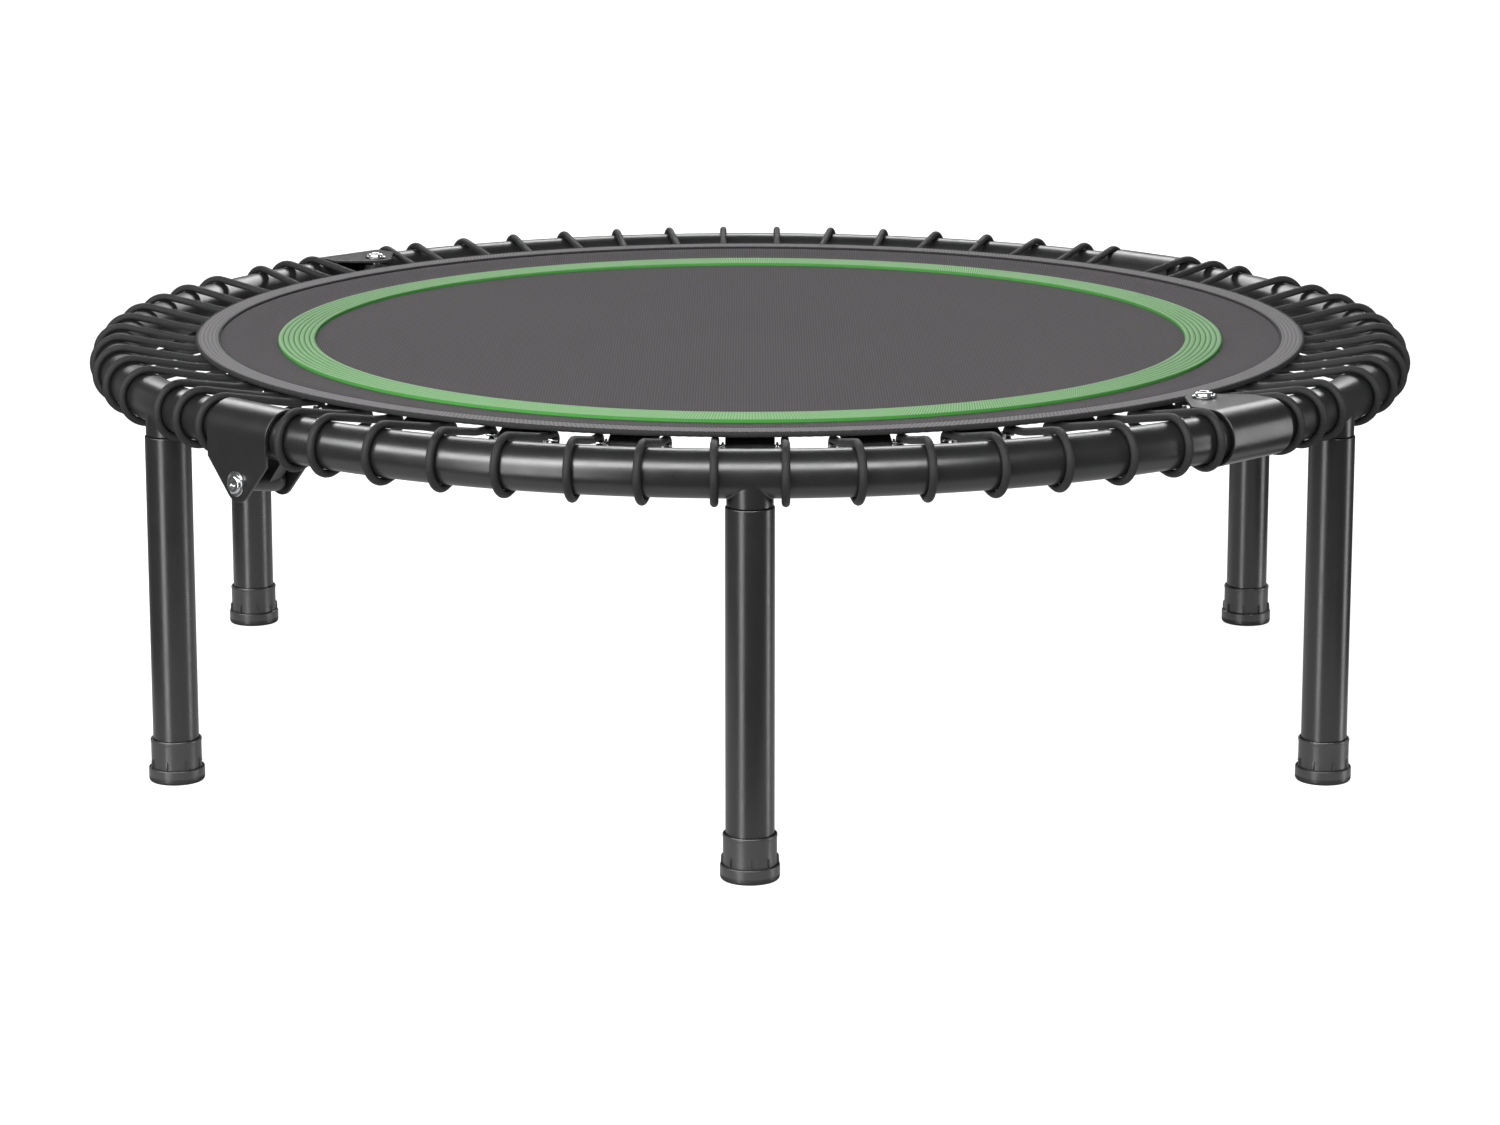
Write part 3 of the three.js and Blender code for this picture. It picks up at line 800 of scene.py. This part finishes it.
def bolt(name, azimuth, inwards, material):
    """A flanged button-head bolt with a hexagon socket and a threaded end."""
    seat = SADDLE_INNER + SADDLE_PLATE + TOUCH_GAP
    tip = -seat - 10 * MM
    thread_top = -SADDLE_INNER
    pitch, depth = 1.25 * MM, 0.6 * MM
    profile = [(BOLT_RADIUS * 0.75, tip), (BOLT_RADIUS, tip + 1.2 * MM)]
    profile += [(BOLT_RADIUS, z) for z in np.arange(tip + 1.5 * MM, thread_top, pitch / 4)]
    thread_rows = range(2, len(profile))
    profile += [(BOLT_RADIUS, thread_top + 0.5 * MM), (BOLT_RADIUS, seat)]
    head = [(10, 0), (10.2, 0.5), (10.2, 1.4), (9.7, 1.9), (9, 1.9), (8.3, 1.3), (7.9, 1.4)]
    head += [(7.8, 2.6), (7.2, 3.6), (6.2, 4.2), (4.9, 4.4), (4.1, 4.3)]
    profile += [(r * MM, seat + h * MM) for r, h in head]
    profile += [(3.7 * MM, seat + 4.0 * MM), (3.6 * MM, seat + 1.0 * MM)]
    socket_rows = (len(profile) - 2, len(profile) - 1)

    def shaped(row, r, angle):
        if row in socket_rows:
            return hexagon(r, angle)
        if row in thread_rows:
            return r - thread_dip(profile[row][1], pitch, depth, angle)
        return r

    shape = turned(profile, 48, radius=shaped)
    return shape.piece(name, material, sharp=38, matrix=fastening_matrix(azimuth, inwards))


def nut(name, azimuth, inwards, material):
    """A hexagon nut with chamfered corners."""
    corner, hole = 9.8 * MM, BOLT_RADIUS + 0.2 * MM
    top = -(SADDLE_INNER + SADDLE_PLATE + TOUCH_GAP)
    bottom = top - 8 * MM
    flat = corner * math.cos(math.pi / 6)
    limits = [flat - 0.2 * MM, flat + 0.4 * MM, corner, corner, flat + 0.4 * MM, flat - 0.2 * MM]
    heights = [bottom, bottom + 0.4 * MM, bottom + 1.2 * MM, top - 1.2 * MM, top - 0.4 * MM, top]
    profile = [(hole + 0.6 * MM, bottom), *zip(limits, heights), (hole + 0.6 * MM, top)]
    profile += [(hole, top - 0.6 * MM), (hole, bottom + 0.6 * MM)]

    def shaped(row, r, angle):
        return min(r, hexagon(corner, angle)) if 1 <= row <= 6 else r

    shape = turned(profile, 72, closed=True, radius=shaped)
    return shape.piece(name, material, sharp=25, matrix=fastening_matrix(azimuth, inwards))


# ---- mat


def mat_offset(radius):
    """How far the mat lies above or below its flat place in the CAD at a radius."""
    t = min(max((radius - DISH_INNER) / (DISH_OUTER - DISH_INNER), 0), 1)
    s = t * t * (3 - 2 * t)
    return RIM_RISE * s - DISH * (1 - s)


def sewn_ring(name, section, across, material, columns=256):
    """Sweeps a closed [radius, height] section round Z. U runs round, and across is V at each point."""
    azimuths = full_turn(columns)
    points = [[(r * math.cos(a), r * math.sin(a), z) for r, z in section] for a in azimuths]
    u = np.append(azimuths, 2 * np.pi) * section[0][0]
    v = np.append(across, across[0])
    return Shape().grid(points, uv_product(u, v), wrap_rows=True).piece(name, material, 50)


def jumping_mat(material):
    """The woven sheet, with its UV in metres on the flat."""
    radii = [4 * MM, *np.linspace(20 * MM, 480 * MM, 47), MAT_RADIUS - 0.5 * MM]
    rows = [(r, MAT_HIGH) for r in radii] + [(r, MAT_LOW) for r in reversed(radii)]
    angles = full_turn(192)
    points = np.array([
        [(r * math.cos(a), r * math.sin(a), z + mat_offset(r)) for a in angles] for r, z in rows
    ])
    uv = np.concatenate([points[:, :, :2], points[:, :1, :2]], axis=1)
    return Shape().grid(points, uv, caps=True).piece("jumping_mat", material, 60)


def hem(material):
    """Grey tape with a shallow groove for each row of stitches, and its edges turned down."""
    inner = HEM_INNER + 1.2 * MM
    bottom = MAT_HIGH + RIM_RISE + 0.05 * MM
    top = HEM_TOP + 0.3 * MM
    groove_depth, edge_drop = 0.22 * MM, 0.5 * MM
    section, across = [], []
    per_row = 4
    last = HEM_ROWS * per_row
    for i in range(last + 1):
        v = i * HEM_WIDTH / last
        groove = groove_depth * (1 - math.cos(2 * math.pi * i / per_row)) / 2
        edge = edge_drop if i in (0, last) else 0
        section.append((inner + v, top - groove - edge))
        across.append(v)
    section += [(inner + HEM_WIDTH, bottom), (inner, bottom)]
    across += [HEM_WIDTH + 2 * MM, -2 * MM]
    return sewn_ring("hem", section, across, material, columns=320)


def hem_binding(name, centre, half_width, low, high, material):
    """The black thread bead over an edge of the hem, with a fine toothed outline."""
    mean_z, half_height = (low + high) / 2, (high - low) / 2
    azimuths, angles = full_turn(720), full_turn(12)
    points = []
    for i, a in enumerate(azimuths):
        swell = 1 + 0.1 * (i % 2)  # every other column is a tooth
        column = []
        for t in angles:
            r = centre + half_width * swell * math.cos(t)
            column.append((r * math.cos(a), r * math.sin(a), mean_z + half_height * swell * math.sin(t)))
        points.append(column)
    u = np.append(azimuths, 2 * np.pi) * centre
    v = np.append(angles, 2 * np.pi) * half_width
    return Shape().grid(points, uv_product(u, v), wrap_rows=True).piece(name, material, 80)


def green_band(material):
    """Seven raised ribs of webbing with sewn grooves between them."""
    mean = (GREEN_INNER + GREEN_OUTER) / 2
    bottom = MAT_HIGH + mat_offset(mean) + 0.05 * MM
    top = HEM_TOP + mat_offset(mean)
    drops = [0.75 * MM, 0.2 * MM, 0.0, 0.0, 0.2 * MM]  # across one rib, from its groove
    section, across = [], []
    for rib in range(GREEN_RIBS):
        for k, drop in enumerate(drops):
            v = (rib + k / len(drops)) * GREEN_RIB
            section.append((GREEN_INNER + v, top - drop))
            across.append(v)
    section += [(GREEN_OUTER, top - drops[0]), (GREEN_OUTER, bottom), (GREEN_INNER, bottom)]
    across += [GREEN_WIDTH, GREEN_WIDTH + 3 * MM, -3 * MM]
    return sewn_ring("green_band", section, across, material)


def under_band(material):
    """The webbing ring sewn under the mat, which holds the tabs."""
    thickness = 2.2 * MM
    radii = np.linspace(BAND_INNER, BAND_OUTER, 5)
    top = [(r, MAT_LOW + mat_offset(r) - 0.1 * MM) for r in radii]
    low = [(r, z - thickness) for r, z in reversed(top)]
    across = [*(radii - BAND_INNER), *(radii[::-1] - BAND_INNER + 2 * thickness)]
    return sewn_ring("under_band", top + low, across, material)


# ---- cords and rings


def unit_azimuth(unit):
    return HINGE_AZIMUTHS[0] + unit * 360 / UNITS


def at_hinge(unit):
    return unit % (UNITS // 4) == 0


def turn_offset(unit):
    """How far along its wire a cord turns round behind it, from the middle."""
    return (30 if at_hinge(unit) else 27) * MM


def tab(unit, material):
    """Webbing rolled round the wire and sewn under the band: a looped strip."""
    azimuth, half = unit_azimuth(unit), TAB_HALF_WIDTH
    thickness, rim = 1.3 * MM, 0.5 * MM
    roll = WIRE_RADIUS + 0.25 * MM + thickness / 2
    top_z = MAT_LOW + mat_offset(BAND_OUTER) - 2.4 * MM - thickness / 2
    path = [(BAND_INNER + 5 * MM, top_z), (BAND_OUTER - 3 * MM, top_z)]
    path += [(BAND_OUTER + 3 * MM, top_z - 1.2 * MM)]
    path += arc_points((WIRE_CIRCLE, WIRE_Z), roll, 70, -160, 15)
    path += [(BAND_OUTER - 1 * MM, top_z - 2.6 * MM), (BAND_INNER + 6 * MM, top_z - 1.45 * MM)]
    path = np.array(filleted(path, 2 * MM, 2))
    tangents = np.gradient(path, axis=0)
    tangents /= np.linalg.norm(tangents, axis=1)[:, None]
    normals = np.stack([-tangents[:, 1], tangents[:, 0]], axis=1)
    outer, inner = path + normals * thickness / 2, path - normals * thickness / 2
    stations = [-half, -half + rim, *np.linspace(-half * 0.8, half * 0.8, 7), half - rim, half]
    points = []
    for i, y in enumerate(stations):
        thin = 0.25 * MM if i in (0, len(stations) - 1) else 0
        ring = np.vstack([outer - normals * thin, (inner + normals * thin)[::-1]])
        points.append([outwards(azimuth) * r + along(azimuth) * y + UP * z for r, z in ring])
    v = distances(np.vstack([outer, inner[::-1]]), closed=True)
    shape = Shape().grid(points, uv_product(stations, v), caps=True)
    return shape.piece(f"tab_{unit + 1:02d}", material, 60)


def wire_ring(unit, material):
    """The steel rod in a tab, with a coiled stop each side of the tab and rounded ends past the cords."""
    azimuth = unit_azimuth(unit)
    half = turn_offset(unit) + WIRE_PAST_CORD
    centre = outwards(azimuth) * WIRE_CIRCLE + UP * WIRE_Z
    shape = Shape()
    ends = [(-half, 0.35), (-half + 0.5 * MM, 0.8), (-half + 1.4 * MM, 1.0)]
    stations = ends + [(y, 1.0) for y in np.linspace(-half + 6 * MM, half - 6 * MM, 9)]
    stations += [(-y, scale) for y, scale in reversed(ends)]
    path = [centre + along(azimuth) * y for y, _ in stations]
    tube(shape, path, WIRE_RADIUS, 14, radii=[scale for _, scale in stations])
    stop_radius, stop_wire, turns, per_turn = 2.75 * MM, 0.85 * MM, 1.3, 18
    stop_start, stop_pitch = 20.4 * MM, 1.75 * MM
    for side in (-1, 1):
        coil = []
        for step in range(int(turns * per_turn) + 1):
            t = step / per_turn
            a = 2 * math.pi * t - math.pi / 3
            y = side * (stop_start + t * stop_pitch)
            radial = outwards(azimuth) * math.cos(a) + UP * math.sin(a)
            coil.append(centre + along(azimuth) * y + radial * stop_radius)
        scales = np.ones(len(coil))
        scales[[0, -1]] = 0.5
        tube(shape, coil, stop_wire, 10, reference=along(azimuth), radii=scales)
    return shape.piece(f"wire_ring_{unit + 1:02d}", material, 60)


def wrap_azimuth(unit, side):
    """Where a cord goes round the tube: beside its ring, clear of brackets and legs."""
    at_bracket = math.degrees(math.asin(HINGE_WRAP_OFFSET / RING_RADIUS))
    azimuth = unit_azimuth(unit) + side * (at_bracket if at_hinge(unit) else 360 / UNITS / 4)
    for leg in LEG_AZIMUTHS:
        apart = (azimuth - leg + 180) % 360 - 180
        if abs(apart) < LEG_CLEAR_ANGLE:
            azimuth += math.copysign(LEG_CLEAR_ANGLE, apart) - apart
    return azimuth


def cord_loop(shape, unit, side):
    """One loop of cord: over the tube, round its outside, back below and round behind the wire."""
    azimuth = unit_azimuth(unit)
    start = outwards(azimuth) * CORD_TURN_CIRCLE + along(azimuth) * side * turn_offset(unit)
    run = outwards(wrap_azimuth(unit, side)) * RING_RADIUS - start
    length = float(np.linalg.norm(run))
    run /= length
    wrap = TUBE_RADIUS + CORD_RADIUS + 0.12 * MM
    turn = (CORD_UPPER_Z - CORD_LOWER_Z) / 2
    turn_z = (CORD_UPPER_Z + CORD_LOWER_Z) / 2
    edge = CORD_EDGE_CIRCLE - CORD_TURN_CIRCLE

    def tangent(distance, z):
        """The angle on the tube where a straight run from that place touches it."""
        back, rise = length - distance, z - RING_Z
        return math.acos(wrap / math.hypot(back, rise)) - math.atan2(rise, back)

    first = math.pi - tangent(edge, CORD_EDGE_Z) - 2 * math.atan2(CORD_EDGE_Z - RING_Z, length - edge)
    last = -math.pi + tangent(turn, 2 * RING_Z - CORD_LOWER_Z)
    upper_end = np.array((length + wrap * math.cos(first), RING_Z + wrap * math.sin(first)))
    lower_end = np.array((length + wrap * math.cos(last), RING_Z + wrap * math.sin(last)))
    strand = filleted([(turn, CORD_UPPER_Z), (edge, CORD_EDGE_Z), upper_end], 14 * MM, 5)
    path = strand[:-1] + [strand[-2] + (upper_end - strand[-2]) * t for t in (0.35, 0.7)]
    path += arc_points((length, RING_Z), wrap, math.degrees(first), math.degrees(last), 30)
    lower_start = np.array((turn, CORD_LOWER_Z))
    path += [lower_end + (lower_start - lower_end) * t for t in np.linspace(0, 1, 9)[1:-1]]
    path += arc_points((turn, turn_z), turn, 270, 90, 11)[:-1]
    points = [start + run * d + UP * z for d, z in path]
    tube(shape, points, CORD_RADIUS, 16, closed=True, reference=np.cross(run, UP))


def is_back(azimuth):
    return math.cos(math.radians(azimuth - FOLD_AZIMUTH - 90)) > 1e-6


def arc_name(azimuth):
    """The frame arc over an azimuth."""
    return ARCS[int((azimuth - HINGE_AZIMUTHS[0]) % 360 // ARC_SPAN)][0]


def hang_cord(label, unit, sides, wrapped_at, material):
    """A ring's cord loops on those sides, stretched between the tube and the mat's edge."""
    shape = Shape()
    for side in sides:
        cord_loop(shape, unit, side)
    obj = shape.piece(f"cord_{unit + 1:02d}{label}", material, 60)
    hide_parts(f"bungee_{arc_name(wrapped_at)}")
    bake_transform(obj)
    return obj


def fold_with_mat(obj, node):
    """A piece that crosses the fold line, in place of the node's two halves."""
    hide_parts(f"{node}_back", f"{node}_front")
    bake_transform(obj)
    return obj


def add_unit(unit, cord, webbing, plating):
    """A tab, its wire ring and its cords. On the fold line each half has a cord of its own."""
    azimuth = unit_azimuth(unit)
    made = ((tab(unit, webbing), "black_webbing"), (wire_ring(unit, plating), "chrome"))
    if unit % (UNITS // 2) == 0:
        for obj, slot in made:
            fold_with_mat(obj, "ring_strap")
        return [
            hang_cord(label, unit, [side], wrap_azimuth(unit, side), cord)
            for side, label in ((-1, "a"), (1, "b"))
        ]
    body, half = ("mat_back", "back") if is_back(azimuth) else ("ring_front", "front")
    for obj, slot in made:
        attach(obj, body, f"ring_strap_{half}")
    return [hang_cord("", unit, (-1, 1), azimuth, cord)]


# ---- the studio


def camera():
    data = bpy.data.cameras.new("camera")
    data.lens, data.sensor_width, data.shift_y = 100.24, 36, -0.09
    obj = linked("camera", data)
    obj.location = CAMERA_PLACE
    obj.rotation_euler = (math.radians(90 - CAMERA_PITCH), 0, 0)
    bpy.context.scene.camera = obj


def add_light(name, kind, place, aim, power, **settings):
    """A lamp aimed at a point. It isn't seen itself."""
    data = bpy.data.lights.new(name, kind)
    data.energy = power
    for key, value in settings.items():
        setattr(data, key, value)
    obj = linked(name, data)
    obj.location = place
    obj.rotation_euler = (Vector(aim) - Vector(place)).to_track_quat("-Z", "Y").to_euler()
    obj.visible_camera = False
    return obj


def softbox(name, place, aim, width, height, radiance):
    """A rectangular panel of a given brightness."""
    power = radiance * math.pi * width * height
    add_light(name, "AREA", place, aim, power, shape="RECTANGLE", size=width, size_y=height)


def sky():
    """White to the camera, and dim to the object, so that the panels shape its highlights."""
    world = bpy.data.worlds.new("studio")
    bpy.context.scene.world = world
    world.use_nodes = True
    nodes, links = world.node_tree.nodes, world.node_tree.links
    background = nodes["Background"]
    background.inputs["Color"].default_value = (1, 1, 1, 1)
    path = nodes.new("ShaderNodeLightPath")
    strength = nodes.new("ShaderNodeMath")
    strength.operation = "MULTIPLY_ADD"
    links.new(path.outputs["Is Camera Ray"], strength.inputs[0])
    strength.inputs[1].default_value = 1.05 - SKY
    strength.inputs[2].default_value = SKY
    links.new(strength.outputs[0], background.inputs["Strength"])


def floor():
    """Pale paper that glows a little, so that the ground comes out white without a shadow."""
    signs = [(-1, -1), (1, -1), (1, 1), (-1, 1)]
    mesh = bpy.data.meshes.new("floor")
    mesh.from_pydata([(x * FLOOR_REACH, y * FLOOR_REACH, 0) for x, y in signs], [], [(0, 1, 2, 3)])
    paper = Finish("floor_paper", Roughness=0.9, Specular_IOR_Level=0.0)
    grain = paper.noise(paper.object_place(), 3.0)
    paper.colour(grain, (0.29, 0.29, 0.29), (0.31, 0.31, 0.31))
    paper.set("Emission Color", (1, 1, 1))
    paper.set("Emission Strength", 0.96)
    obj = linked("floor", mesh, paper.material)
    obj.visible_glossy = False


def studio():
    bpy.context.scene.view_settings.view_transform = "Standard"
    sky()
    floor()
    fill = add_light("fill", "SUN", (-1, -1.6, 5), (0, 0, 0), 0.3, angle=math.radians(80))
    fill.visible_glossy = False
    legs, ring = (0, 0, 0.2), (0, 0, 0.3)
    softbox("front_high", (-0.15, -3.0, 2.7), ring, 4.2, 1.35, 9.5)
    softbox("left_high", (-2.81, -2.19, 2.1), ring, 3.2, 1.2, 10.0)
    softbox("left_strip", (-2.35, -3.36, 0.2), legs, 1.05, 3.2, 5.0)
    softbox("left_back", (-3.6, 2.6, 0.2), legs, 0.7, 3.0, 0.35)
    softbox("right_strip", (4.1, -0.25, 0.2), legs, 1.0, 3.0, 4.2)
    softbox("back_high", (0, 3.2, 2.45), ring, 5.0, 0.9, 7.0)
    softbox("bounce", (0, 0, 0.004), (0, 0, 1), 1.5, 1.5, 0.45)


# ---- assembly


def build_frame(steel, plating, rubber):
    for (name, body), start in zip(ARCS, HINGE_AZIMUTHS):
        attach(arc_tube(f"tube_{name}", start, steel), body, f"frame_arc_{name}")
    for number, azimuth in enumerate(LEG_AZIMUTHS, 1):
        half = "half_front" if number <= 3 else "half_back"
        leg = f"leg_{number}"
        attach(leg_stub(f"socket_{number}", azimuth, steel), half, f"leg_stub_{number}")
        attach(leg_stud(f"stud_{number}", azimuth, plating), half, f"leg_stud_{number}")
        attach(leg_tube(f"tube_leg_{number}", azimuth, steel), leg, f"leg_tube_{number}")
        attach(foot(f"rubber_foot_{number}", azimuth, rubber), leg, f"foot_{number}")


# name, azimuth, inwards, side of the lug, body of the bracket, body of the lug
HINGES = [
    ("fold_left", -135, False, 1, "half_back", "half_front"),
    ("flat_right", -45, True, 1, "half_front", "half_front"),
    ("fold_right", 45, False, -1, "half_back", "half_front"),
    ("flat_left", 135, True, -1, "half_back", "half_back"),
]


def build_hinges(steel, plating):
    for name, azimuth, inwards, side, bracket_body, lug_body in HINGES:
        bracket = saddle(f"bracket_{name}", azimuth, inwards, steel)
        attach(bracket, bracket_body, f"{name}_saddle")
        sleeve = lug(f"sleeve_{name}", azimuth, inwards, side, steel)
        attach(sleeve, lug_body, f"{name}_lug")
        screw = bolt(f"screw_{name}", azimuth, inwards, plating)
        attach(screw, bracket_body, f"{name}_bolt")
        hex_nut = nut(f"hex_nut_{name}", azimuth, inwards, plating)
        attach(hex_nut, bracket_body, f"{name}_nut")


def build_mat(webbing, thread):
    mat = fold_with_mat(jumping_mat(mat_weave()), "mat")
    trim = [
        fold_with_mat(hem(hem_webbing()), "hem"),
        fold_with_mat(green_band(green_webbing()), "green_band"),
        fold_with_mat(under_band(webbing), "ring_strap"),
    ]
    low, high = MAT_LOW + RIM_RISE, MAT_HIGH + RIM_RISE
    bindings = [
        ("outer_binding", MAT_RADIUS - 0.9 * MM, 1.5 * MM, low - 0.5 * MM, HEM_TOP + 0.35 * MM),
        ("inner_binding", HEM_INNER + 0.3 * MM, 1.3 * MM, high - 0.6 * MM, HEM_TOP),
    ]
    trim += [fold_with_mat(hem_binding(*sizes, thread), "hem") for sizes in bindings]
    return mat, trim


camera()
studio()
steel = painted_steel()
plating = plated_steel("bright_plating", (0.82, 0.83, 0.84), 0.1, 0.24)
webbing = black_webbing()
cord_material = braided_cord()
build_frame(steel, plating, moulded_rubber())
build_hinges(steel, plating)
mat, trim = build_mat(webbing, binding_thread())
cords = []
for unit in range(UNITS):
    cords += add_unit(unit, cord_material, webbing, plating)
